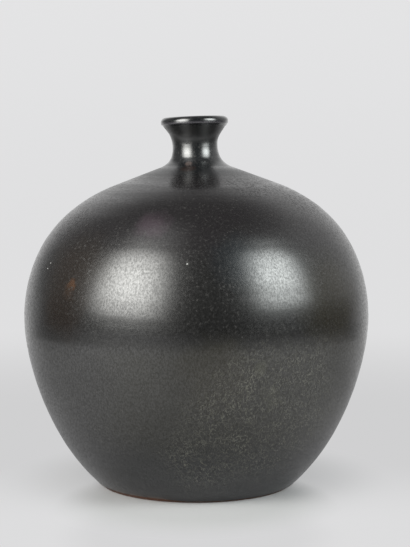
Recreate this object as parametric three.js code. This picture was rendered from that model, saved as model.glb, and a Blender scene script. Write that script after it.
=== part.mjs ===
// Ball vase: a thrown and glazed bottle with a ball-shaped body, a narrow neck and a flared mouth
// with a rolled lip. Millimetres, +Z up. The origin is the centre of the foot, on the table.
//
// The clay is thrown in three sections that are luted together while soft: a lower bowl with a
// turned foot, an upper dome and a neck. One glaze coats the outside, from just above the foot,
// over the lip and a little way down the mouth. Another glaze lines the inside. Every piece is
// turned about the upright axis, and pieces that touch share the points of their profiles, so
// their faces meet exactly.

import * as THREE from "three";

// Ball, over the glaze
const ballRadius = 117.25;
const widestHeight = 114.3;

// Side below the widest height: tangent arcs, each with the angle below the level where it ends.
// The heel is the last one and runs down to the foot.
const bellyRadius = 108.5;
const bellyTurn = 9.4;
const flankRadius = 193;
const flankTurn = 28.7;
const heelRadius = 139.2;

// Side above the widest height: tangent arcs, each with the angle above the level where it ends.
// From the end of the cap a straight cone runs up to the neck.
const shoulderRadius = 104.6;
const shoulderTurn = 24;
const crownRadius = 82.5;
const crownTurn = 51;
const capRadius = 104.5;
const capTurn = 69;

// Neck and mouth, over the glaze
const neckRadius = 15.05;
const rootFillet = 14;
const waistLength = 1.75;
const flareRadius = 15;
const flareTurn = 35.4;
const flareRun = 6.9;
const lipRollRadius = 2.95;

// Clay
const wall = 5.5;
const neckWall = 3.8;
const boreRounding = 5;
const floorThickness = 7;
const floorFillet = 14;

// Turned foot
const footRecess = 3;
const footRingWidth = 7;
const footRecessDraft = 1.5;
const footBevelHeight = 1.5;
const footBevelWidth = 1.5;

// Glazes
const coat = 0.5;
const liner = 0.4;
const glazeLineHeight = 2.2;

// Seam at the widest height: the dome's rim rests on an outer ledge and fits round a tongue.
const bellyLedge = 2.8;
const bellyTongue = 3;

// Seam under the neck: the neck's flange rests on a ledge cut in the edge of the dome's hole.
const neckLedge = 4;
const neckFlange = 2.7;

// What handling and firing did to the round form, in degrees: the dome and the mouth are higher
// on the +X side, and the neck leans towards -X.
const domeTilt = 0.63;
const mouthTilt = 1.32;
const neckLean = 2.96;

// Fineness of the mesh: the facets round the axis, and how far the middle of a facet may lie off
// its arc, on the outside of the ball, on the inside of the wall and on the neck and mouth
const facetsRound = 40;
const ballSag = 0.4;
const wallSag = 0.8;
const neckSag = 0.12;

const point = (x, y) => new THREE.Vector2(x, y);
const radians = THREE.MathUtils.degToRad;
const direction = (angle) => point(Math.cos(angle), Math.sin(angle));

// A round stretch of a profile. Its surface faces away from the centre where facing is 1 and
// towards the centre where facing is -1.
function arc(centre, radius, from, to, facing) {
  return { centre, radius, from, to, facing };
}

// The point of an arc at an angle, lifted off the arc's surface.
function pointOn({ centre, radius, facing }, angle, lift = 0) {
  return direction(angle).multiplyScalar(radius + facing * lift).add(centre);
}

// The points of arcs that follow each other, all lifted alike. Where two arcs don't touch, the
// profile runs straight from one to the next.
function trace(arcs, lift, sag) {
  const points = [];
  for (const item of arcs) {
    const largestStep = 2 * Math.acos(1 - sag / item.radius);
    const steps = Math.max(1, Math.ceil(Math.abs(item.to - item.from) / largestStep));
    for (let i = 0; i <= steps; i++) {
      points.push(pointOn(item, THREE.MathUtils.lerp(item.from, item.to, i / steps), lift));
    }
  }
  return points;
}

// Arcs that follow each other tangentially, up or down, from the widest point of the ball.
function tangentArcs(sizes) {
  const arcs = [];
  let from = 0;
  let centre = point(ballRadius - sizes[0].radius, widestHeight);
  sizes.forEach(({ radius, turn }, i) => {
    if (i > 0) {
      const change = sizes[i - 1].radius - radius;
      centre = direction(from).multiplyScalar(change).add(centre);
    }
    const to = radians(turn);
    arcs.push(arc(centre, radius, from, to, 1));
    from = to;
  });
  return arcs;
}

// The same arc met from its lower end.
function reversed(item) {
  return { ...item, from: item.to, to: item.from };
}

// The angle at which an arc's surface, lifted, is at a height below the arc's centre.
function angleAtHeight(item, height, lift) {
  return Math.asin((height - item.centre.y) / (item.radius + item.facing * lift));
}

// The centre of a round that touches the straight cone above start and an upright line.
function coneRoundCentre(start, centreX, radius) {
  const slope = radians(capTurn);
  const rise = (radius - Math.cos(slope) * (centreX - start.x)) / Math.sin(slope);
  return point(centreX, start.y + rise);
}

// Outside of the vase, over the glaze
const [belly, flank, heelStart] = tangentArcs([
  { radius: bellyRadius, turn: -bellyTurn },
  { radius: flankRadius, turn: -flankTurn },
  { radius: heelRadius, turn: -flankTurn },
]);
const [shoulder, crown, cap] = tangentArcs([
  { radius: shoulderRadius, turn: shoulderTurn },
  { radius: crownRadius, turn: crownTurn },
  { radius: capRadius, turn: capTurn },
]);
const heel = { ...heelStart, to: angleAtHeight(heelStart, glazeLineHeight, 0) };
const bareHeel = {
  ...heelStart,
  from: heel.to,
  to: angleAtHeight(heelStart, footBevelHeight, -coat),
};

const coneSlope = radians(capTurn);
const rootCentre = coneRoundCentre(pointOn(cap, cap.to), neckRadius + rootFillet, rootFillet);
const root = arc(rootCentre, rootFillet, coneSlope - Math.PI, -Math.PI, -1);

const flareEnd = Math.PI - radians(flareTurn);
const flareCentre = point(neckRadius + flareRadius, rootCentre.y + waistLength);
const flare = arc(flareCentre, flareRadius, Math.PI, flareEnd, -1);

const lipCentre = pointOn(flare, flareEnd)
  .add(direction(Math.PI / 2 - radians(flareTurn)).multiplyScalar(flareRun))
  .add(direction(flareEnd).multiplyScalar(lipRollRadius));
const mouthHeight = lipCentre.y + lipRollRadius;

// Inside of the mouth, on the clay: it flares about the same centre as the outside does, and
// leaves that round where a straight stretch touches both it and the rolled lip.
const mouthRadius = flareRadius + coat + neckWall;
const flareToLip = lipCentre.clone().sub(flareCentre);
const mouthReach = (mouthRadius + coat - lipRollRadius) / flareToLip.length();
const mouthEnd = flareToLip.angle() + Math.acos(mouthReach);
const mouth = arc(flareCentre, mouthRadius, Math.PI, mouthEnd, 1);
const lipRoll = arc(lipCentre, lipRollRadius, -radians(flareTurn), mouthEnd, 1);

// Inside of the clay wall, from the floor up
const lined = (item) => ({ ...item, radius: item.radius - coat - wall, facing: -1 });
const floorHeight = footRecess + floorThickness;
const innerHeel = lined(heel);
const floorReach = innerHeel.radius - floorFillet;
const floorEnd = Math.asin((floorHeight + floorFillet - innerHeel.centre.y) / floorReach);
const floorCentre = direction(floorEnd).multiplyScalar(floorReach).add(innerHeel.centre);
const floorRound = arc(floorCentre, floorFillet, -Math.PI / 2, floorEnd, -1);
const innerShoulder = lined(shoulder);
const tongueEnd = Math.asin(bellyTongue / innerShoulder.radius);
const lowerWall = [
  floorRound,
  { ...innerHeel, from: floorEnd, to: -radians(flankTurn) },
  reversed(lined(flank)),
  reversed(lined(belly)),
  { ...innerShoulder, to: tongueEnd },
];
const upperWall = [{ ...innerShoulder, from: tongueEnd }, lined(crown), lined(cap)];

// Bore of the neck, on the clay
const boreRadius = neckRadius - coat - neckWall;
const boreCentre = coneRoundCentre(
  pointOn(lined(cap), cap.to),
  boreRadius + boreRounding,
  boreRounding,
);
const boreRound = arc(boreCentre, boreRounding, coneSlope - Math.PI, -Math.PI, 1);
const bore = [boreRound, mouth];

// Corners of the seam at the widest height
const ledgeRadius = ballRadius - coat - bellyLedge;
const bellySeam = [
  point(ledgeRadius, widestHeight),
  point(ledgeRadius, widestHeight + bellyTongue),
];

// Corners of the seam under the neck, from the outside in
const intoWall = direction(coneSlope + Math.PI);
const upCone = direction(coneSlope + Math.PI / 2);
const seamTop = pointOn(root, root.from, -coat);
const ledgeOuter = seamTop.clone().addScaledVector(intoWall, neckFlange);
const ledgeInner = ledgeOuter.clone().addScaledVector(upCone, neckLedge);
const seamBottom = ledgeInner.clone().addScaledVector(intoWall, wall - neckFlange);
const neckSeam = [ledgeOuter, ledgeInner, seamBottom];

// Clay faces that a glaze covers, from the bottom up
const lowerOutside = trace([reversed(heel), reversed(flank), reversed(belly)], -coat, ballSag);
const upperOutside = trace([shoulder, crown, cap], -coat, ballSag);
const neckOutside = trace([root, flare, lipRoll], -coat, neckSag);
const lowerInside = [point(0, floorHeight), ...trace(lowerWall, 0, wallSag)];
const upperInside = trace(upperWall, 0, wallSag);
const neckInside = trace(bore, 0, neckSag);
const mouthCut = pointOn(mouth, mouthEnd);

const bareFoot = trace([reversed(bareHeel)], -coat, ballSag);
const footRadius = bareFoot[0].x - footBevelWidth;
const footRingInner = footRadius - footRingWidth;

const lowerBowl = [
  point(0, footRecess),
  point(footRingInner - footRecessDraft, footRecess),
  point(footRingInner, 0),
  point(footRadius, 0),
  ...bareFoot,
  ...lowerOutside,
  ...bellySeam,
  ...lowerInside.toReversed(),
];

const upperDome = [
  ...upperOutside,
  seamTop,
  ...neckSeam,
  ...upperInside.toReversed(),
  ...bellySeam.toReversed(),
  upperOutside[0],
];

const neck = [
  ...neckOutside,
  ...neckInside.toReversed(),
  ...neckSeam.toReversed(),
  neckOutside[0],
];

const outerGlaze = [
  ...trace([reversed(heel), reversed(flank), reversed(belly), shoulder, crown, cap], 0, ballSag),
  ...trace([root, flare, lipRoll], 0, neckSag),
  pointOn(mouth, mouthEnd, coat),
  mouthCut,
  ...neckOutside.toReversed(),
  ...upperOutside.toReversed(),
  ...lowerOutside.toReversed(),
  pointOn(heel, heel.to),
];

const linerGlaze = [
  ...lowerInside,
  ...upperInside,
  seamBottom,
  ...neckInside,
  ...trace(bore, liner, neckSag).toReversed(),
  ...trace(upperWall, liner, wallSag).toReversed(),
  ...trace(lowerWall, liner, wallSag).toReversed(),
  point(0, floorHeight + liner),
];

// A profile without the points that repeat the one before.
function cleaned(profile) {
  const nearlyZero = 1e-6;
  return profile.filter((p, i) => i === 0 || p.distanceTo(profile[i - 1]) > nearlyZero);
}

// A lathe splits each of its quads along one diagonal, which depends on the way that the profile
// runs. Here a quad whose profile runs down is split the other way, so that two pieces that share
// a face split it alike.
function alignDiagonals(geometry, profile) {
  const index = [];
  for (let i = 0; i < facetsRound; i++) {
    for (let j = 0; j < profile.length - 1; j++) {
      const here = i * profile.length + j;
      const next = here + profile.length;
      const rise = profile[j + 1].y - profile[j].y;
      const run = profile[j + 1].x - profile[j].x;
      const runsUp = rise > 0 || (rise === 0 && run > 0);
      if (runsUp) {
        index.push(here, next, here + 1, next + 1, here + 1, next);
      } else {
        index.push(here, next, next + 1, here, next + 1, here + 1);
      }
    }
  }
  geometry.setIndex(index);
}

// Tilts the dome and the mouth and leans the neck, by amounts that grow smoothly with height.
function settle(geometry) {
  const position = geometry.attributes.position;
  const neckStart = rootCentre.y - rootFillet;
  for (let i = 0; i < position.count; i++) {
    const x = position.getX(i);
    const z = position.getZ(i);
    const domePart = THREE.MathUtils.smoothstep(z, widestHeight, neckStart);
    const mouthPart = THREE.MathUtils.smoothstep(z, neckStart, mouthHeight);
    const tilt = radians(domeTilt * domePart + mouthTilt * mouthPart);
    const lean = Math.tan(radians(neckLean)) * Math.max(z - neckStart, 0);
    position.setX(i, x - lean);
    position.setZ(i, z + x * Math.tan(tilt));
  }
}

function turned(name, outline, material) {
  const profile = cleaned(outline);
  const geometry = new THREE.LatheGeometry(profile, facetsRound);
  alignDiagonals(geometry, profile);
  geometry.rotateX(Math.PI / 2);
  settle(geometry);
  geometry.computeVertexNormals();
  const mesh = new THREE.Mesh(geometry, material);
  mesh.name = name;
  return mesh;
}

const clay = () => new THREE.MeshStandardMaterial({ color: 0x7d4a35, roughness: 0.9 });
const darkGlaze = () =>
  new THREE.MeshStandardMaterial({ color: 0x2c2a29, roughness: 0.32, metalness: 0.55 });
const plainGlaze = () =>
  new THREE.MeshStandardMaterial({ color: 0x33302d, roughness: 0.4, metalness: 0.1 });

const vase = new THREE.Group();
vase.name = "ball_vase";
vase.add(turned("lower_bowl", lowerBowl, clay()));
vase.add(turned("upper_dome", upperDome, clay()));
vase.add(turned("neck", neck, clay()));
vase.add(turned("outer_glaze", outerGlaze, darkGlaze()));
vase.add(turned("liner_glaze", linerGlaze, plainGlaze()));

export default vase;
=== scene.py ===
"""A thrown ball vase under one dark glaze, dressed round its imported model. Sizes are in metres."""

import math
from collections import namedtuple
from types import SimpleNamespace

import bmesh
import bpy
import numpy as np
from mathutils import Matrix, Vector


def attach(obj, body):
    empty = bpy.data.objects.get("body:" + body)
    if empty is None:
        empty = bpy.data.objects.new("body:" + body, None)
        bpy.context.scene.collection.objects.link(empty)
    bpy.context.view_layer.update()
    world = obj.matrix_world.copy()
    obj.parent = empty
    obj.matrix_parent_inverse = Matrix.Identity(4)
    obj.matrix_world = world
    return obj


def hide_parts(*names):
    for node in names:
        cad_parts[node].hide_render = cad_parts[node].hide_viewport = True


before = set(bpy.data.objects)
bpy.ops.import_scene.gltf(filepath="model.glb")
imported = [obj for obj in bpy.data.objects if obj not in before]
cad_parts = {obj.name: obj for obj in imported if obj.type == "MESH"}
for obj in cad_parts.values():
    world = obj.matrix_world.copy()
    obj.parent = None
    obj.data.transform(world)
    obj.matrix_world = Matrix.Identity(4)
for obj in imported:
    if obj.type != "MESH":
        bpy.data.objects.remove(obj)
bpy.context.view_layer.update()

BODY = "root"
MM = 0.001

# The turned form, as in the part's source: a profile of tangent arcs, over the glaze
BALL_RADIUS = 117.25 * MM
WIDEST_HEIGHT = 114.3 * MM
BELLY = (108.5 * MM, 9.4)
FLANK = (193 * MM, 28.7)
HEEL_RADIUS = 139.2 * MM
SHOULDER = (104.6 * MM, 24)
CROWN = (82.5 * MM, 51)
CAP = (104.5 * MM, 69)
NECK_RADIUS = 15.05 * MM
ROOT_FILLET = 14 * MM
WAIST_LENGTH = 1.75 * MM
FLARE_RADIUS = 15 * MM
FLARE_TURN = math.radians(35.4)
FLARE_RUN = 6.9 * MM
LIP_ROLL_RADIUS = 2.95 * MM

# Clay, seams, foot and glazes
WALL = 5.5 * MM
NECK_WALL = 3.8 * MM
BORE_ROUNDING = 5 * MM
FLOOR_THICKNESS = 7 * MM
FLOOR_FILLET = 14 * MM
FOOT_RECESS = 3 * MM
FOOT_RING_WIDTH = 7 * MM
FOOT_RECESS_DRAFT = 1.5 * MM
FOOT_BEVEL = 1.5 * MM
COAT = 0.5 * MM
LINER = 0.4 * MM
GLAZE_LINE = 2.2 * MM
BELLY_LEDGE = 2.8 * MM
BELLY_TONGUE = 3 * MM
NECK_LEDGE = 4 * MM
NECK_FLANGE = 2.7 * MM

# What handling and firing did to the round form
DOME_TILT = math.radians(0.63)
MOUTH_TILT = math.radians(1.32)
NECK_LEAN = math.radians(2.96)

# Fineness of the turned meshes: how many sides, and how far apart the rows of their profiles are
SKIN_SIDES = 264
LINER_SIDES = 216
CLAY_SIDES = 144
SKIN_STEP = 2 * MM
NECK_STEP = 0.5 * MM
COVERED_NECK_STEP = 1 * MM
LIP_STEP = 0.2 * MM
HIDDEN_STEP = 4 * MM

# The photograph's camera
CAMERA_PLACE = (0, -0.92699, 0.21939)
CAMERA_PITCH = math.radians(4.711)
CAMERA_YAW = math.radians(0.363)
CAMERA_ROLL = math.radians(0.102)
SENSOR_HEIGHT = 36
LENS = 89.28

Arc = namedtuple("Arc", "centre radius start end facing")


def direction(angle):
    return Vector((math.cos(angle), math.sin(angle)))


def point_on(arc, angle, lift=0.0):
    return arc.centre + direction(angle) * (arc.radius + arc.facing * lift)


def trace(arcs, lift, step):
    """Rows of x, z and the outward normal along arcs that follow each other."""
    rows = []
    for arc in arcs:
        turn = arc.end - arc.start
        steps = max(2, math.ceil(abs(turn) * arc.radius / step))
        for i in range(steps + 1):
            angle = arc.start + turn * i / steps
            p = point_on(arc, angle, lift)
            n = direction(angle) * arc.facing
            rows.append((p.x, p.y, n.x, n.y))
    return rows


def flare_run():
    """The straight stretch between the flare and the lip's roll."""
    start = point_on(flare, flare_end)
    end = point_on(lip_roll, lip_roll.start)
    facing = direction(lip_roll.start)
    shares = np.linspace(0, 1, math.ceil(FLARE_RUN / LIP_STEP))
    return [(*start.lerp(end, share), *facing) for share in shares]


def corner(x, z):
    """A profile row that no relief moves."""
    return (x, z, 0.0, 0.0)


def tangent_arcs(sizes, sign):
    """Arcs that follow each other tangentially, up or down, from the widest point of the ball."""
    arcs = []
    start = 0.0
    centre = Vector((BALL_RADIUS - sizes[0][0], WIDEST_HEIGHT))
    for i, (radius, turn) in enumerate(sizes):
        if i:
            centre = centre + direction(start) * (sizes[i - 1][0] - radius)
        end = sign * math.radians(turn)
        arcs.append(Arc(centre, radius, start, end, 1))
        start = end
    return arcs


def reversed_arc(arc):
    return arc._replace(start=arc.end, end=arc.start)


def angle_at_height(arc, height, lift=0.0):
    return math.asin((height - arc.centre.y) / (arc.radius + arc.facing * lift))


def cone_round_centre(start, centre_x, radius):
    """The centre of a round that touches the straight cone above start and an upright line."""
    slope = math.radians(CAP[1])
    rise = (radius - math.cos(slope) * (centre_x - start.x)) / math.sin(slope)
    return Vector((centre_x, start.y + rise))


def lined(arc):
    return arc._replace(radius=arc.radius - COAT - WALL, facing=-1)


# Outside of the vase, over the glaze
belly, flank, heel_start = tangent_arcs([BELLY, FLANK, (HEEL_RADIUS, FLANK[1])], -1)
shoulder, crown, cap = tangent_arcs([SHOULDER, CROWN, CAP], 1)
heel = heel_start._replace(end=angle_at_height(heel_start, GLAZE_LINE))
bare_heel = heel_start._replace(
    start=angle_at_height(heel_start, FOOT_BEVEL, -COAT), end=heel.end)
cone_slope = math.radians(CAP[1])
root_centre = cone_round_centre(point_on(cap, cap.end), NECK_RADIUS + ROOT_FILLET, ROOT_FILLET)
root = Arc(root_centre, ROOT_FILLET, cone_slope - math.pi, -math.pi, -1)
flare_end = math.pi - FLARE_TURN
flare_centre = Vector((NECK_RADIUS + FLARE_RADIUS, root_centre.y + WAIST_LENGTH))
flare = Arc(flare_centre, FLARE_RADIUS, math.pi, flare_end, -1)
lip_centre = (point_on(flare, flare_end)
              + direction(math.pi / 2 - FLARE_TURN) * FLARE_RUN
              + direction(flare_end) * LIP_ROLL_RADIUS)
mouth_height = lip_centre.y + LIP_ROLL_RADIUS
neck_start = root_centre.y - ROOT_FILLET

# Inside of the mouth, on the clay
mouth_radius = FLARE_RADIUS + COAT + NECK_WALL
flare_to_lip = lip_centre - flare_centre
mouth_reach = (mouth_radius + COAT - LIP_ROLL_RADIUS) / flare_to_lip.length
mouth_end = math.atan2(flare_to_lip.y, flare_to_lip.x) + math.acos(mouth_reach)
mouth = Arc(flare_centre, mouth_radius, math.pi, mouth_end, 1)
lip_roll = Arc(lip_centre, LIP_ROLL_RADIUS, -FLARE_TURN, mouth_end, 1)

# Inside of the clay wall and the bore, from the floor up
floor_height = FOOT_RECESS + FLOOR_THICKNESS
inner_heel = lined(heel)
floor_reach = inner_heel.radius - FLOOR_FILLET
floor_end = math.asin((floor_height + FLOOR_FILLET - inner_heel.centre.y) / floor_reach)
floor_round = Arc(inner_heel.centre + direction(floor_end) * floor_reach,
                  FLOOR_FILLET, -math.pi / 2, floor_end, -1)
inner_shoulder = lined(shoulder)
tongue_end = math.asin(BELLY_TONGUE / inner_shoulder.radius)
lower_wall = [
    floor_round,
    inner_heel._replace(start=floor_end, end=heel.start),
    reversed_arc(lined(flank)),
    reversed_arc(lined(belly)),
    inner_shoulder._replace(end=tongue_end),
]
upper_wall = [inner_shoulder._replace(start=tongue_end), lined(crown), lined(cap)]
bore_radius = NECK_RADIUS - COAT - NECK_WALL
bore_centre = cone_round_centre(
    point_on(lined(cap), cap.end), bore_radius + BORE_ROUNDING, BORE_ROUNDING)
bore_round = Arc(bore_centre, BORE_ROUNDING, cone_slope - math.pi, -math.pi, 1)
bore = [bore_round, mouth]

# Corners of the two seams
ledge_radius = BALL_RADIUS - COAT - BELLY_LEDGE
belly_seam = [
    corner(ledge_radius, WIDEST_HEIGHT),
    corner(ledge_radius, WIDEST_HEIGHT + BELLY_TONGUE),
]
seam_top = point_on(root, root.start, -COAT)
ledge_outer = seam_top + direction(cone_slope + math.pi) * NECK_FLANGE
ledge_inner = ledge_outer + direction(cone_slope + math.pi / 2) * NECK_LEDGE
seam_bottom = ledge_inner + direction(cone_slope + math.pi) * (WALL - NECK_FLANGE)
neck_seam = [corner(*p) for p in (ledge_outer, ledge_inner, seam_bottom)]


def smoothstep(value, low, high):
    t = np.clip((value - low) / (high - low), 0, 1)
    return t * t * (3 - 2 * t)


def settled(points):
    """Tilts the dome and the mouth and leans the neck, as firing did."""
    x = points[:, 0].copy()
    z = points[:, 2].copy()
    tilt = (DOME_TILT * smoothstep(z, WIDEST_HEIGHT, neck_start)
            + MOUTH_TILT * smoothstep(z, neck_start, mouth_height))
    points[:, 0] = x - math.tan(NECK_LEAN) * np.maximum(z - neck_start, 0)
    points[:, 2] = z + x * np.tan(tilt)
    return points


def cleaned(rows):
    """A profile without the rows that repeat the place of the one before."""
    nearly_zero = 1e-6
    kept = [rows[0]]
    for row in rows[1:]:
        if math.dist(row[:2], kept[-1][:2]) > nearly_zero:
            kept.append(row)
    return np.array(kept)


def turned(name, rows, sides, material, relief=None):
    """A closed turned solid. relief gives how far each point moves along its normal and up the
    profile. A row without a normal stays where it is."""
    profile = cleaned(rows)
    count = len(profile)
    angles = np.arange(sides) * 2 * math.pi / sides
    x, z, nx, nz = (np.tile(column, sides) for column in profile.T)
    around = np.repeat(angles, count)
    if relief is not None:
        out, along = relief(around, z, nx, nz)
        x, z = x + nx * out - nz * along, z + nz * out + nx * along
    points = settled(np.stack([x * np.sin(around), -x * np.cos(around), z], 1))
    closes = profile[0][0] > 0
    faces = []
    for i in range(sides):
        here = i * count
        there = (i + 1) % sides * count
        for j in range(count if closes else count - 1):
            k = (j + 1) % count
            face = [here + j, here + k, there + k, there + j]
            if profile[j][0] == 0:
                face = [j, here + k, there + k]
            elif profile[k][0] == 0:
                face = [here + j, k, there + j]
            faces.append(face)
    mesh = bpy.data.meshes.new(name)
    mesh.from_pydata(points, [], faces)
    mesh.validate()
    tidy(mesh)
    mesh.materials.append(material)
    piece = bpy.data.objects.new(name, mesh)
    bpy.context.collection.objects.link(piece)
    return piece


def tidy(mesh):
    """Drops the unused copies of points on the axis, turns the faces outwards and smooths them."""
    crease = math.radians(40)
    made = bmesh.new()
    made.from_mesh(mesh)
    loose = [v for v in made.verts if not v.link_faces]
    bmesh.ops.delete(made, geom=loose, context="VERTS")
    bmesh.ops.recalc_face_normals(made, faces=made.faces)
    made.to_mesh(mesh)
    made.free()
    mesh.shade_smooth()
    mesh.set_sharp_from_angle(angle=crease)


# Relief that throwing and firing left on the outside. Depths and heights are in millimetres.
RINGS = ((6.1, 0.011, 0.4), (9.7, 0.016, 2.1), (15.3, 0.022, 4.0))  # pitch, depth and phase
WOBBLES = ((0.10, 2, 0.7, 50), (0.05, 3, 2.0, -30), (0.02, 7, 1.0, 20))  # depth, lobes, phase, rise
WAIST_SWELL = 0.3
THROAT_SLOPE = 1.3
THROAT_DEPTH = 0.3  # less than the coat's thickness, so that the clay under it stays covered
THROAT_AZIMUTH = math.radians(-40)
MOUTH_SHIFT = 0.3
MOUTH_BULGE = 0.5
LIP_EDGE = 0.36
LIP_SAG = 0.3
LIP_DROP = 0.27
BARE_AZIMUTH = math.radians(-41)
EDGE_FALL = 1.55
EDGE_CLIMB = 2.2
EDGE_BAND = 7


def throwing_relief(around, z):
    """Faint spiral rings and a slight wobble of the whole form, less of both on the neck."""
    rings = np.zeros_like(z)
    for pitch, depth, phase in RINGS:
        rings += depth * np.sin(2 * math.pi * z / (pitch * MM) + around + phase)
    wobble = np.zeros_like(z)
    for depth, lobes, phase, rise in WOBBLES:
        wobble += depth * np.cos(lobes * around + phase + z / (rise * MM))
    on_body = 1 - smoothstep((z - neck_start) / MM, -10, 12)
    return rings * (0.4 + 0.6 * on_body) + wobble * (0.25 + 0.75 * on_body)


def neck_relief(around, z, nx, nz):
    """A full waist, a hollow root at the front left, and a lip that sags over a sharp edge."""
    above_root = (z - neck_start) / MM
    below_lip = (lip_centre.y - z) / MM
    waist = WAIST_SWELL * smoothstep(above_root, 4, 12)
    front_left = 0.5 + 0.5 * np.cos(around - THROAT_AZIMUTH)
    throat = THROAT_SLOPE * front_left * np.maximum(nz, 0) ** 2
    throat *= smoothstep(above_root, -9, 0) * (1 - smoothstep(above_root, 12, 18))
    throat = np.minimum(throat, THROAT_DEPTH)
    to_right = np.sin(around) * nx
    shift = MOUTH_SHIFT * to_right + MOUTH_BULGE * np.maximum(to_right, 0) ** 2
    shift *= smoothstep(above_root, 18, 26)
    below_edge = below_lip - 1.1 * np.maximum(np.sin(around), 0) ** 2
    edge = LIP_EDGE * smoothstep(below_lip, 0.3, 1.8) * (1 - smoothstep(below_edge, 1.9, 2.5))
    sag = LIP_SAG * smoothstep(-below_lip, -1.5, 2.0) * nz
    return waist - throat + shift + edge * (nx > 0) - sag


def lip_drop(z):
    """How far the top of the lip's roll sank, with its lower edge in place."""
    above_edge = (z - lip_centre.y) / MM + 2.6
    return LIP_DROP * smoothstep(above_edge, 0, 2.2)


def glaze_edge(around, z):
    """How far the glaze's lower edge climbs the heel: up at the front left, down elsewhere."""
    bare = smoothstep(np.cos(around - BARE_AZIMUTH), 0.80, 0.95)
    waves = 0.12 * np.cos(5 * around + 1) + 0.07 * np.cos(11 * around)
    above_line = (z - GLAZE_LINE) / MM
    fade = np.clip(1 - above_line / EDGE_BAND, 0, 1) ** 2
    return (EDGE_CLIMB * bare - EDGE_FALL + waves) * fade


def skin_relief(around, z, nx, nz):
    """How far the glaze's face moves along its normal, and up the profile, in metres."""
    drop = lip_drop(z)
    out = throwing_relief(around, z) + neck_relief(around, z, nx, nz) - drop * nz
    along = glaze_edge(around, z) - drop * nx
    return out * MM, along * MM


# Shader helpers
class Shader:
    """Adds nodes to a tree and links what they are given."""

    def __init__(self, tree):
        self.tree = tree
        tree.nodes.clear()

    def add(self, kind, inputs=None, **settings):
        node = self.tree.nodes.new(kind)
        for key, value in settings.items():
            setattr(node, key, value)
        for key, value in (inputs or {}).items():
            if isinstance(value, bpy.types.NodeSocket):
                self.tree.links.new(value, node.inputs[key])
            else:
                node.inputs[key].default_value = value
        return node

    def math(self, operation, *values, clamp=False):
        node = self.add("ShaderNodeMath", dict(enumerate(values)), operation=operation)
        node.use_clamp = clamp
        return node.outputs[0]

    def ramp(self, value, low, high, to_low=0.0, to_high=1.0):
        """A smooth change from to_low to to_high as value goes from low to high."""
        node = self.add("ShaderNodeMapRange", {
            "Value": value, "From Min": low, "From Max": high,
            "To Min": to_low, "To Max": to_high}, interpolation_type="SMOOTHSTEP")
        return node.outputs[0]

    def band(self, value, rise, fall):
        """0, then 1 from the end of rise to the start of fall, then 0 again."""
        return self.product(self.ramp(value, *rise), self.ramp(value, *fall, 1.0, 0.0))

    def product(self, first, *others):
        for value in others:
            first = self.math("MULTIPLY", first, value)
        return first

    def largest(self, first, *others):
        for value in others:
            first = self.math("MAXIMUM", first, value)
        return first

    def added(self, base, share, amount):
        """base plus share times amount."""
        return self.math("MULTIPLY_ADD", share, amount, base)

    def stretched(self, place, factors):
        node = self.add("ShaderNodeVectorMath", {0: place, 1: factors}, operation="MULTIPLY")
        return node.outputs[0]

    def unit(self, vector):
        """The outputs X, Y and Z of the vector at a length of 1."""
        node = self.add("ShaderNodeVectorMath", {0: vector}, operation="NORMALIZE")
        return self.add("ShaderNodeSeparateXYZ", {"Vector": node.outputs[0]}).outputs

    def link_output(self, kind, surface):
        """Adds the tree's output node and links the surface to it."""
        output = self.add(kind)
        self.tree.links.new(surface.outputs[0], output.inputs["Surface"])

    def noise(self, place, scale, detail=2.0, roughness=0.5):
        node = self.add("ShaderNodeTexNoise", {
            "Vector": place, "Scale": scale, "Detail": detail, "Roughness": roughness})
        return node.outputs["Fac"]

    def mix(self, share, first, second):
        node = self.add("ShaderNodeMix", data_type="RGBA")
        sockets = [s for s in node.inputs if s.enabled]
        for socket, value in zip(sockets, (share, first, second)):
            if isinstance(value, bpy.types.NodeSocket):
                self.tree.links.new(value, socket)
            else:
                socket.default_value = value
        return next(s for s in node.outputs if s.enabled)

    def spot(self, place, centre, radius, softness, ragged=0.0):
        """1 within radius of a point, fading to 0 over softness, with an edge as ragged as asked."""
        node = self.add("ShaderNodeVectorMath", {0: place, 1: centre}, operation="DISTANCE")
        distance = node.outputs["Value"]
        if ragged:
            wander = self.math("SUBTRACT", self.noise(place, 0.35 / ragged, 3.0), 0.5)
            distance = self.added(distance, wander, 4 * ragged)
        return self.ramp(distance, radius, radius + softness, 1.0, 0.0)


def rgb(red, green, blue):
    return (red, green, blue, 1.0)


def new_material(name):
    material = bpy.data.materials.new(name)
    material.use_nodes = True
    return material, Shader(material.node_tree)


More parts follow.
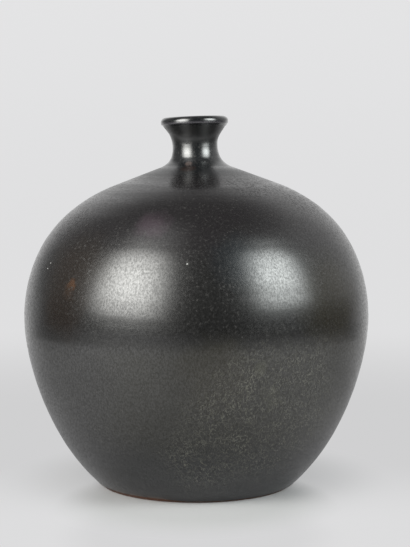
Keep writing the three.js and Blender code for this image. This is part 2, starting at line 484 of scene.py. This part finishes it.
# Spots of colour on the glaze: place, radius, softness and raggedness in millimetres, colour and
# strength
COLOURED_SPOTS = [
    ((-78, -79, 150), 6, 34, 4, (0.0095, 0.0056, 0.0031), 0.9),
    ((-84, -78, 128), 6, 22, 4, (0.0080, 0.0046, 0.0024), 0.9),
    ((-77.6, -82.0, 143.2), 1.2, 3.2, 1.2, (0.050, 0.021, 0.007), 0.9),
    ((-80.4, -80.6, 141.9), 0.8, 3.0, 1.2, (0.036, 0.017, 0.007), 0.8),
    ((-80.0, -82.0, 137.5), 1.0, 6.0, 2.0, (0.018, 0.009, 0.004), 0.8),
    ((-27, -88, 180.5), 2, 14, 4, (0.0330, 0.0215, 0.0285), 0.85),
    ((27.8, -103.7, 159), 5, 20, 3, (0.0022, 0.0042, 0.0062), 0.9),
    ((87, -76, 132), 12, 30, 4, (0.0125, 0.0100, 0.0045), 0.9),
    ((12, -113, 90), 10, 22, 5, (0.0100, 0.0085, 0.0030), 0.8),
    ((40, -109, 94), 1.5, 6, 3, (0.0240, 0.0240, 0.0120), 0.8),
    ((47, -101, 75), 2.0, 8, 4, (0.0200, 0.0200, 0.0110), 0.8),
    ((-5.3, -20, 218.6), 1.6, 1.6, 0.5, (0.060, 0.042, 0.038), 0.8),
    ((-5.5, -26, 215.0), 3.0, 4.0, 1.0, (0.016, 0.008, 0.006), 0.8),
]

# Patches of pits and of fine pale veins, as place, radius and softness, and places of pale dots: the
# first is a painted glint, the other two are lone specks
PITTED = [((68, -33, 194), 12, 14), ((33, -47, 204), 10, 10), ((-79, -47, 180), 8, 12)]
VEINED = [((46, -96, 58), 32, 34), ((62, -92, 82), 14, 26), ((8, -92, 34), 16, 24)]
SPECKS_AND_GLINT = [(-5.6, -107.6, 157.7), (-93.8, -55.5, 154.6), (-95.6, -55.0, 151.0)]
SPECK_RADIUS = 0.3
SPECK_SOFTNESS = 0.45
PATCH_RAGGED = 5.0

# Spots on the shoulder in front of the neck, as place, radius and softness
DULL_SPOT = ((-4.0, -28.0, 208.5), 11.0, 9.0)
SMOOTH_SPOT = ((-3.0, -45.0, 201.0), 12.0, 10.0)

# Colours of the glaze
GLAZE_DARK = rgb(0.0028, 0.0027, 0.0027)
GLAZE_CLOUD = rgb(0.0050, 0.0048, 0.0044)
DOME_TINT = rgb(0.0054, 0.0043, 0.0048)
NECK_TINT = rgb(0.0052, 0.0060, 0.0068)
OLIVE_TINT = rgb(0.0062, 0.0058, 0.0022)
UNDER_LIP_TINT = rgb(0.0090, 0.0090, 0.0090)
SPECKLE = rgb(0.037, 0.035, 0.033)
VEIN = rgb(0.096, 0.094, 0.074)
# Pale dots: one painted glint of a lamp, and two lone specks
SPECK_AND_GLINT_COLOUR = rgb(0.32, 0.32, 0.31)
THIN_GLAZE = rgb(0.070, 0.050, 0.036)
# Painted highlight: a pale band along the lip's lower edge, adding to the real reflection of the floor
# that the ridge there catches.
PAINTED_LIP_HIGHLIGHT = rgb(0.036, 0.034, 0.039)

# Heights in millimetres between which the glaze changes
OLIVE_RISE = (25.0, 55.0)
OLIVE_FALL = (98.0, 114.0)
DOME_RISE = (150.0, 175.0)
STREAKS_RISE = (180.0, 205.0)
NECK_TINT_RISE = (206.0, 216.0)
ROOT_RISE = (206.0, 211.0)
ROOT_FALL = (213.0, 218.0)
NECK_RISE = (208.0, 224.0)
UNDER_LIP_RISE = (230.0, 236.0)
UNDER_LIP_FALL = (243.0, 245.5)
LIP_RISE = (241.0, 245.0)
# Where the painted highlight along the lip's edge lies
LIP_LINE_RISE = (244.3, 245.1)
LIP_LINE_FALL = (245.7, 246.7)


def glaze_patterns(shader):
    """Places on the glaze in millimetres, and the noises and zones that its look is made of."""
    metres = shader.add("ShaderNodeTexCoord").outputs["Object"]
    place = shader.stretched(metres, (1000.0, 1000.0, 1000.0))
    upright = shader.stretched(place, (1.0, 1.0, 0.55))
    level = shader.stretched(place, (0.02, 0.02, 1.0))
    axes = shader.add("ShaderNodeSeparateXYZ", {"Vector": place}).outputs
    return SimpleNamespace(
        place=place,
        x=axes["X"],
        z=axes["Z"],
        cloud=shader.noise(place, 0.022, 3.0),
        speck=shader.noise(place, 0.62, 2.0, 0.6),
        grain=shader.noise(upright, 1.1, 1.0),
        streak=shader.noise(level, 0.55, 2.0),
        vein=shader.noise(upright, 0.42, 2.0, 0.6),
        clump=shader.noise(place, 0.11, 2.0, 0.6),
        pit=shader.noise(place, 0.5, 1.0),
        near_neck=shader.ramp(axes["Z"], *NECK_RISE),
        under_lip=shader.band(axes["Z"], UNDER_LIP_RISE, UNDER_LIP_FALL),
    )


def patches(shader, place, rows):
    """1 inside any of the ragged patches."""
    spots = [shader.spot(place, *row, PATCH_RAGGED) for row in rows]
    return shader.largest(*spots)


def tinted(shader, glaze):
    """Near black, browner on the dome, bluer on the neck, olive under the widest part, and spotted
    with colour.
    """
    colour = shader.mix(glaze.cloud, GLAZE_DARK, GLAZE_CLOUD)
    colour = shader.mix(shader.ramp(glaze.z, *DOME_RISE), colour, DOME_TINT)
    colour = shader.mix(shader.ramp(glaze.z, *NECK_TINT_RISE), colour, NECK_TINT)
    less_at_left = shader.ramp(glaze.x, -75.0, -35.0, 0.3, 1.0)
    olive = shader.product(shader.band(glaze.z, OLIVE_RISE, OLIVE_FALL), less_at_left)
    colour = shader.mix(olive, colour, OLIVE_TINT)
    for centre, radius, softness, ragged, spot_colour, strength in COLOURED_SPOTS:
        mask = shader.product(shader.spot(glaze.place, centre, radius, softness, ragged), strength)
        colour = shader.mix(mask, colour, rgb(*spot_colour))
    return colour


def speckled(shader, glaze, colour):
    """Adds the pale speckle, the veins, two lone specks and a painted glint."""
    speckle = shader.product(
        shader.ramp(glaze.speck, 0.58, 0.74),
        shader.ramp(glaze.cloud, 0.35, 0.6, 0.3, 1.0),
        shader.ramp(glaze.z, 120.0, 160.0, 0.65, 1.0))
    colour = shader.mix(speckle, colour, SPECKLE)
    from_middle = shader.math("ABSOLUTE", shader.math("SUBTRACT", glaze.vein, 0.5))
    veins = shader.product(
        shader.ramp(from_middle, 0.0, 0.035, 1.0, 0.0),
        patches(shader, glaze.place, VEINED),
        shader.ramp(glaze.clump, 0.35, 0.65, 0.45, 1.0))
    colour = shader.mix(veins, colour, VEIN)
    # The first of these dots is a painted glint, the others are lone specks.
    for centre in SPECKS_AND_GLINT:
        speck = shader.spot(glaze.place, centre, SPECK_RADIUS, SPECK_SOFTNESS)
        colour = shader.mix(speck, colour, SPECK_AND_GLINT_COLOUR)
    return colour


def edged(shader, glaze, colour):
    """Adds the thin glaze at the foot, a painted highlight along the lip's edge, and the paler
    underside of the lip.
    """
    thin_edge = shader.product(
        shader.ramp(glaze.z, 2.6, 4.6, 1.0, 0.0),
        shader.ramp(glaze.x, -22.0, -10.0, 1.0, 0.0),
        shader.ramp(glaze.clump, 0.4, 0.55))
    colour = shader.mix(thin_edge, colour, THIN_GLAZE)
    colour = shader.mix(glaze.under_lip, colour, UNDER_LIP_TINT)
    # The painted highlight along the lip's lower edge, slanting with the mouth.
    lip_level = shader.added(glaze.z, shader.math("ADD", glaze.x, 1.8), -0.034)
    painted_lip_line = shader.band(lip_level, LIP_LINE_RISE, LIP_LINE_FALL)
    return shader.mix(painted_lip_line, colour, PAINTED_LIP_HIGHLIGHT)


def glaze_roughness(shader, glaze):
    """Rougher in the speckle and under the lip, smoother on the neck, below it and on the lip."""
    neck = shader.ramp(glaze.near_neck, 0.0, 1.0, 1.0, 0.85)
    below_neck = shader.spot(glaze.place, *SMOOTH_SPOT)
    return shader.product(
        shader.ramp(glaze.speck, 0.3, 0.7, 0.29, 0.38),
        shader.ramp(glaze.z, *LIP_RISE, neck, 0.58),
        shader.ramp(glaze.under_lip, 0.0, 1.0, 1.0, 1.3),
        shader.ramp(below_neck, 0.0, 1.0, 1.0, 0.85))


def gloss_coat(shader, glaze, pits):
    """How much of the glaze is glossy: all of the neck, and less where it is dull or pitted."""
    on_body = shader.ramp(glaze.grain, 0.3, 0.7, 0.15, 0.9)
    coat = shader.ramp(glaze.near_neck, 0.0, 1.0, on_body, 1.0)
    before_neck = shader.spot(glaze.place, *DULL_SPOT)
    dull = shader.largest(
        shader.product(before_neck, 0.95),
        shader.product(glaze.under_lip, 0.8),
        shader.product(shader.band(glaze.z, ROOT_RISE, ROOT_FALL), 0.65))
    streaks = shader.ramp(glaze.streak, 0.3, 0.7, -0.4, 0.3)
    coat = shader.product(
        coat,
        shader.math("SUBTRACT", 1.0, dull),
        shader.added(1.0, shader.ramp(glaze.z, *STREAKS_RISE), streaks))
    return shader.math("MULTIPLY", coat, shader.math("SUBTRACT", 1.0, pits), clamp=True)


def dark_glaze():
    """Gunmetal glaze: glossy over a soft metallic haze, with speckle, pits, a few spots of colour, a
    painted glint and a painted highlight on the lip's edge.
    """
    material, shader = new_material("dark_glaze")
    glaze = glaze_patterns(shader)
    colour = edged(shader, glaze, speckled(shader, glaze, tinted(shader, glaze)))
    pits = shader.product(shader.ramp(glaze.pit, 0.54, 0.60), patches(shader, glaze.place, PITTED))
    height = shader.math("SUBTRACT", shader.product(glaze.grain, 0.3), pits)
    bump = shader.add("ShaderNodeBump", {"Strength": 0.3, "Distance": 0.0003, "Height": height})
    surface = shader.add("ShaderNodeBsdfPrincipled", {
        "Base Color": colour,
        "Roughness": glaze_roughness(shader, glaze),
        "IOR": 1.58,
        "Coat Weight": gloss_coat(shader, glaze, pits),
        "Coat Roughness": 0.16,
        "Normal": bump.outputs[0],
    })
    shader.link_output("ShaderNodeOutputMaterial", surface)
    return material


def liner_glaze():
    """Dark brown-black satin glaze inside."""
    material, shader = new_material("liner_glaze")
    place = shader.add("ShaderNodeTexCoord").outputs["Object"]
    cloud = shader.noise(place, 60.0, 3.0)
    base = shader.mix(cloud, rgb(0.012, 0.010, 0.009), rgb(0.026, 0.021, 0.017))
    bump = shader.add("ShaderNodeBump", {
        "Strength": 0.2, "Distance": 0.0003, "Height": shader.noise(place, 500.0)})
    surface = shader.add("ShaderNodeBsdfPrincipled", {
        "Base Color": base, "Roughness": shader.ramp(cloud, 0.3, 0.7, 0.3, 0.42),
        "Normal": bump.outputs[0]})
    shader.link_output("ShaderNodeOutputMaterial", surface)
    return material


def bare_clay():
    """Fired red-brown clay, matt and sandy, darker where the fire flashed it."""
    material, shader = new_material("bare_clay")
    place = shader.add("ShaderNodeTexCoord").outputs["Object"]
    cloud = shader.noise(place, 35.0, 4.0)
    sand = shader.noise(place, 1100.0, 2.0, 0.7)
    base = shader.mix(cloud, rgb(0.085, 0.036, 0.024), rgb(0.16, 0.075, 0.048))
    base = shader.mix(shader.ramp(sand, 0.56, 0.7), base, rgb(0.25, 0.16, 0.11))
    bump = shader.add("ShaderNodeBump", {"Strength": 0.5, "Distance": 0.0002, "Height": sand})
    surface = shader.add("ShaderNodeBsdfPrincipled", {
        "Base Color": base, "Roughness": shader.ramp(sand, 0.3, 0.7, 0.75, 0.95),
        "Normal": bump.outputs[0]})
    shader.link_output("ShaderNodeOutputMaterial", surface)
    return material


def build_vase():
    """The five pieces of the vase, each in place of its solid."""
    clay = bare_clay()
    below_widest = [reversed_arc(heel), reversed_arc(flank), reversed_arc(belly)]
    above_widest = [shoulder, crown, cap]
    lower_outside = trace(below_widest, -COAT, HIDDEN_STEP)
    upper_outside = trace(above_widest, -COAT, HIDDEN_STEP)
    neck_outside = trace([root, flare, lip_roll], -COAT, COVERED_NECK_STEP)
    lower_inside = [corner(0, floor_height), *trace(lower_wall, 0, HIDDEN_STEP)]
    upper_inside = trace(upper_wall, 0, HIDDEN_STEP)
    neck_inside = trace(bore, 0, NECK_STEP)
    bare_foot = trace([bare_heel], -COAT, NECK_STEP)
    foot_radius = bare_foot[0][0] - FOOT_BEVEL
    ring_inner = foot_radius - FOOT_RING_WIDTH
    lower_bowl = [
        corner(0, FOOT_RECESS),
        corner(ring_inner - FOOT_RECESS_DRAFT, FOOT_RECESS),
        corner(ring_inner, 0),
        corner(foot_radius, 0),
        *bare_foot,
        *lower_outside,
        *belly_seam,
        *reversed(lower_inside),
    ]
    upper_dome = [
        *upper_outside,
        corner(*seam_top),
        *neck_seam,
        *reversed(upper_inside),
        *reversed(belly_seam),
    ]
    neck = [*neck_outside, *reversed(neck_inside), *reversed(neck_seam)]
    outer_glaze = [
        *trace(below_widest + above_widest, 0, SKIN_STEP),
        *trace([root, flare], 0, NECK_STEP),
        *flare_run(),
        *trace([lip_roll], 0, LIP_STEP),
        corner(*point_on(mouth, mouth_end, COAT)),
        corner(*point_on(mouth, mouth_end)),
        *[corner(*row[:2]) for row in reversed(neck_outside)],
        *[corner(*row[:2]) for row in reversed(upper_outside)],
        *[corner(*row[:2]) for row in reversed(lower_outside)],
    ]
    liner = [
        *lower_inside,
        *upper_inside,
        *neck_inside,
        *reversed(trace(bore, LINER, NECK_STEP)),
        *reversed(trace(upper_wall, LINER, HIDDEN_STEP)),
        *reversed(trace(lower_wall, LINER, HIDDEN_STEP)),
        corner(0, floor_height + LINER),
    ]
    pieces = [
        ("lower_bowl", "clay", turned("bare_lower_bowl", lower_bowl, SKIN_SIDES, clay)),
        ("upper_dome", "clay", turned("bare_upper_dome", upper_dome, CLAY_SIDES, clay)),
        ("neck", "clay", turned("bare_neck", neck, CLAY_SIDES, clay)),
        ("outer_glaze", "dark_glaze",
         turned("glaze_skin", outer_glaze, SKIN_SIDES, dark_glaze(), skin_relief)),
        ("liner_glaze", "liner_glaze",
         turned("glaze_lining", liner, LINER_SIDES, liner_glaze())),
    ]
    for node, slot, piece in pieces:
        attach(piece, BODY)
        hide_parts(node)


# Stage
SWEEP_FLOOR_RINGS = (0.0, 0.3, 0.6, 1.0, 1.9)
SWEEP_BEND = 0.5
BEND_STEPS = 12
SWEEP_HEIGHT = 2.05
MIRRORED_FLOOR_RADIUS = 0.585  # the gloss shows the pale floor only this far out
AMBIENT = 0.2

# Pools of light that the gloss shows on the floor: place, radius, softness and strength
FLOOR_POOLS = [
    ((0.24, -0.22, 0), 0.08, 0.25, 0.30),
    ((-0.30, -0.28, 0), 0.10, 0.35, 0.50),
    ((-0.12, -0.17, 0), 0.05, 0.12, 0.15),
    ((0.12, -0.15, 0), 0.05, 0.12, 0.08),
]

# Spots on the stage, as place, radius and softness
SHADED_FLOOR = ((0, -0.14, 0), 0.055, 0.035)
DIM_FLOOR = ((0.03, -0.42, 0), 0.05, 0.2)
BEFORE_FOOT = ((0, -0.05, 0), 0.055, 0.05)
ROUND_FOOT = ((0, 0, 0), 0.07, 0.07)
LIT_WALL = ((-0.85, -0.85, 0), 0.4, 0.5)
LIT_CEILING = ((-0.8, -0.55, SWEEP_HEIGHT), 0.2, 0.55)


def surface_of_rings(name, rings, material, sides=180):
    """An open turned surface from rows of radius and height."""
    points = []
    faces = []
    for i in range(sides + 1):
        around = 2 * math.pi * i / sides
        for radius, height in rings:
            points.append((radius * math.sin(around), -radius * math.cos(around), height))
        for j in range(len(rings) - 1):
            if i < sides:
                here = i * len(rings) + j
                faces.append((here, here + 1, here + 1 + len(rings), here + len(rings)))
    mesh = bpy.data.meshes.new(name)
    mesh.from_pydata(points, [], faces)
    mesh.shade_smooth()
    mesh.materials.append(material)
    piece = bpy.data.objects.new(name, mesh)
    bpy.context.collection.objects.link(piece)
    return piece


def seen_directly(shader):
    """1 for the rays that show the background itself: camera, glossy and transmission rays."""
    path = shader.add("ShaderNodeLightPath").outputs
    return shader.largest(path["Is Camera Ray"], path["Is Glossy Ray"], path["Is Transmission Ray"])


def background_level(shader, place, axes, reach):
    """The even brightness of the floor and the backdrop, a little darker close to the vase, where
    shade is painted on it.
    """
    # Painted shade: darker behind the vase, and a painted shadow in a spot in front of it.
    near = shader.ramp(axes["Y"], -0.12, 0.06, 0.72, 0.63)
    near = shader.added(near, shader.spot(place, *SHADED_FLOOR), -0.055)
    floor = shader.ramp(reach, 0.3, 0.9, near, 0.74)
    return shader.ramp(axes["Z"], 0.0, 0.7, floor, 0.775)


def mirrored_share(shader, place, axes, reach):
    """How bright the gloss shows the floor: in pools, and brighter in front and further out."""
    pools = 1.0
    for centre, radius, softness, strength in FLOOR_POOLS:
        pools = shader.added(pools, shader.spot(place, centre, radius, softness), strength)
    far = shader.added(shader.ramp(reach, 0.2, 0.45), shader.spot(place, *DIM_FLOOR), -0.9)
    return shader.product(
        shader.ramp(axes["Y"], -0.3, 0.15, 0.85, 0.60),
        pools,
        shader.added(1.0, far, 0.38),
        # Painted shade: the gloss sees the floor darker close to the foot.
        shader.ramp(reach, 0.07, 0.2, 0.75, 1.0))


def sweep_paper():
    """Pale paper: lit by the lamps near the vase, an even pale background away from it."""
    material, shader = new_material("sweep_paper")
    place = shader.add("ShaderNodeTexCoord").outputs["Object"]
    axes = shader.add("ShaderNodeSeparateXYZ", {"Vector": place}).outputs
    length = shader.add("ShaderNodeVectorMath", {0: place}, operation="LENGTH")
    reach = length.outputs["Value"]
    glossy = shader.add("ShaderNodeLightPath").outputs["Is Glossy Ray"]
    shade = shader.mix(glossy, rgb(0.50, 0.50, 0.505), rgb(0.42, 0.42, 0.43))
    paper = shader.add("ShaderNodeBsdfDiffuse", {"Color": shade})
    mirrored = mirrored_share(shader, place, axes, reach)
    level = shader.product(
        background_level(shader, place, axes, reach),
        shader.ramp(glossy, 0.0, 1.0, 1.0, mirrored))
    even = shader.add("ShaderNodeEmission", {"Color": rgb(1.0, 1.0, 1.01), "Strength": level})
    near_foot = shader.largest(
        shader.spot(place, *BEFORE_FOOT),
        shader.product(shader.spot(place, *ROUND_FOOT), 0.4))
    share = shader.product(shader.math("SUBTRACT", 1.0, near_foot), seen_directly(shader))
    mixed = shader.add("ShaderNodeMixShader", {0: share, 1: paper.outputs[0], 2: even.outputs[0]})
    shader.link_output("ShaderNodeOutputMaterial", mixed)
    return material


def gloss_room():
    """What the gloss shows past the floor: a dark front, paler sides and back, a grey ceiling."""
    material, shader = new_material("gloss_room")
    place = shader.add("ShaderNodeTexCoord").outputs["Object"]
    around = shader.unit(shader.stretched(place, (1, 1, 0)))
    upward = shader.unit(place)["Z"]
    sides = shader.ramp(around["X"], -0.6, 0.6, 0.20, 0.54)
    high_back = shader.ramp(around["Y"], 0.6, 0.95, sides, 0.72)
    low_back = shader.ramp(around["Y"], 0.3, 0.9, 0.10, 0.76)
    back = shader.ramp(upward, 0.05, 0.24, low_back, high_back)
    wall = shader.ramp(around["Y"], -0.35, 0.3, 0.05, back)
    wall = shader.added(wall, shader.spot(place, *LIT_WALL), 0.35)
    level = shader.ramp(upward, 0.68, 0.94, wall, 0.14)
    level = shader.added(level, shader.spot(place, *LIT_CEILING), 0.9)
    glow = shader.add("ShaderNodeEmission", {"Color": rgb(1, 1, 1), "Strength": level})
    shader.link_output("ShaderNodeOutputMaterial", glow)
    return material


def build_stage():
    """The pale sweep, and inside it the room that only the gloss sees."""
    floor_radius = SWEEP_FLOOR_RINGS[-1]
    floor_to_wall = [(radius, 0.0) for radius in SWEEP_FLOOR_RINGS]
    for i in range(1, BEND_STEPS + 1):
        bend = math.pi / 2 * i / BEND_STEPS
        floor_to_wall.append((floor_radius + SWEEP_BEND * math.sin(bend),
                              SWEEP_BEND * (1 - math.cos(bend))))
    floor_to_wall.append((floor_radius + SWEEP_BEND, SWEEP_HEIGHT))
    surface_of_rings("pale_sweep", floor_to_wall, sweep_paper())
    just_inside = 0.98
    wall = floor_radius * just_inside
    edge_lift = 1 * MM
    rings = [(MIRRORED_FLOOR_RADIUS, edge_lift), (wall, edge_lift), (wall, SWEEP_HEIGHT),
             (0.0, SWEEP_HEIGHT)]
    room = surface_of_rings("gloss_room", rings, gloss_room())
    room.visible_camera = False
    room.visible_diffuse = False
    room.visible_shadow = False


Fades = namedtuple("Fades", "left left_edge right right_edge bottom bottom_edge top top_edge")


def softbox(name, azimuth, distance, shift, width, low, high, radiance, colour, fades):
    """An upright soft lamp that faces the vase, brightest inside. fades gives how far in from each
    edge the light has its full strength, as a share of the size, and what is left of it at the
    edge."""
    data = bpy.data.lights.new(name, "AREA")
    data.shape = "RECTANGLE"
    data.size = width
    data.size_y = high - low
    data.energy = radiance * math.pi * data.size * data.size_y
    data.use_nodes = True
    shader = Shader(data.node_tree)
    parametric = shader.add("ShaderNodeNewGeometry").outputs["Parametric"]
    across = shader.add("ShaderNodeSeparateXYZ", {"Vector": parametric}).outputs
    level = shader.product(
        shader.ramp(across["X"], 0.0, fades.left, fades.left_edge, 1.0),
        shader.ramp(across["X"], 1.0 - fades.right, 1.0, 1.0, fades.right_edge),
        shader.ramp(across["Y"], 0.0, fades.bottom, fades.bottom_edge, 1.0),
        shader.ramp(across["Y"], 1.0 - fades.top, 1.0, 1.0, fades.top_edge))
    glow = shader.add("ShaderNodeEmission", {"Color": colour, "Strength": level})
    shader.link_output("ShaderNodeOutputLight", glow)
    lamp = bpy.data.objects.new(name, data)
    angle = math.radians(azimuth)
    away = Vector((math.sin(angle), -math.cos(angle), 0))
    aside = Vector((math.cos(angle), math.sin(angle), 0))
    lamp.location = away * distance + aside * shift + Vector((0, 0, (low + high) / 2))
    lamp.rotation_mode = "QUATERNION"
    lamp.rotation_quaternion = away.to_track_quat("Z", "Y")
    bpy.context.collection.objects.link(lamp)


def build_lights():
    """Two soft lamps, left and right of the camera, and a dim even world."""
    softbox("left_softbox", azimuth=-47, distance=0.8, shift=0.05, width=0.96, low=0.19, high=1.35,
            radiance=12.0, colour=rgb(1.0, 1.0, 0.965),
            fades=Fades(left=0.44, left_edge=0.0, right=0.44, right_edge=0.0,
                        bottom=0.27, bottom_edge=0.6, top=0.75, top_edge=0.05))
    softbox("right_softbox", azimuth=57, distance=0.8, shift=-0.05, width=0.70, low=0.235,
            high=1.22, radiance=11.3, colour=rgb(0.955, 1.0, 0.985),
            fades=Fades(left=0.45, left_edge=0.0, right=0.35, right_edge=0.2,
                        bottom=0.33, bottom_edge=0.4, top=0.70, top_edge=0.03))
    world = bpy.data.worlds.new("studio")
    bpy.context.scene.world = world
    world.use_nodes = True
    shader = Shader(world.node_tree)
    strength = shader.ramp(seen_directly(shader), 0.0, 1.0, AMBIENT, 1.0)
    sky = shader.add("ShaderNodeBackground", {
        "Color": rgb(0.78, 0.78, 0.785), "Strength": strength})
    shader.link_output("ShaderNodeOutputWorld", sky)


def build_camera():
    data = bpy.data.cameras.new("photo_camera")
    data.sensor_fit = "VERTICAL"
    data.sensor_height = SENSOR_HEIGHT
    data.lens = LENS
    camera = bpy.data.objects.new("photo_camera", data)
    turn = (Matrix.Rotation(-CAMERA_YAW, 4, "Z")
            @ Matrix.Rotation(math.pi / 2 - CAMERA_PITCH, 4, "X")
            @ Matrix.Rotation(-CAMERA_ROLL, 4, "Z"))
    camera.matrix_world = Matrix.Translation(CAMERA_PLACE) @ turn
    bpy.context.collection.objects.link(camera)
    bpy.context.scene.camera = camera


build_camera()
build_vase()
build_stage()
build_lights()
bpy.context.scene.view_settings.view_transform = "Standard"
